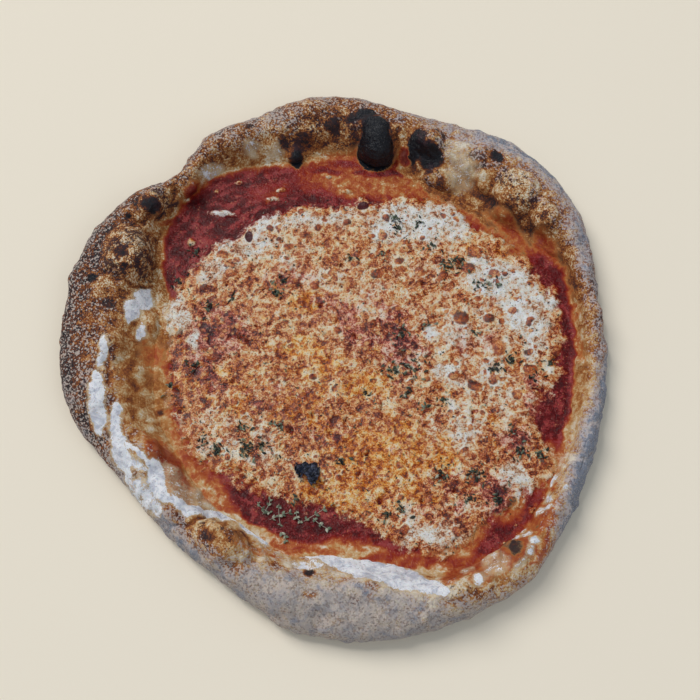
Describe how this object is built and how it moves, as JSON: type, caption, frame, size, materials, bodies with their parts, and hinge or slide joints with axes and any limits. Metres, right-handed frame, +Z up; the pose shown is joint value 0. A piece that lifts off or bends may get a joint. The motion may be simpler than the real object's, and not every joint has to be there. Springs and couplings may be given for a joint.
{
  "type": "margherita pizza",
  "caption": "Round Neapolitan-style pizza with an uneven puffy blistered crust, tomato sauce, melted mozzarella, dried herbs and a burnt basil leaf.",
  "frame": {"origin": "middle of the flat underside's bounding box, on the surface that the pizza stands on", "axes": "+Z up; +X to the right and +Y away from the viewer, with the large black blister at the back and the narrowest rim on the right"},
  "size_m": [0.3158, 0.3316, 0.029],
  "materials": {
    "dough": "baked dough, floured and leopard-spotted, dry and matte",
    "sauce": "cooked tomato sauce, wet gloss",
    "cheese": "melted mozzarella, toasted and oily",
    "charred_leaf": "burnt leaf, dry",
    "herbs": "dried oregano and thyme, dry"
  },
  "bodies": {
    "root": {"crust": "dough", "tomato_sauce": "sauce", "mozzarella": "cheese", "charred_basil_leaf": "charred_leaf"}
  },
  "joints": []
}
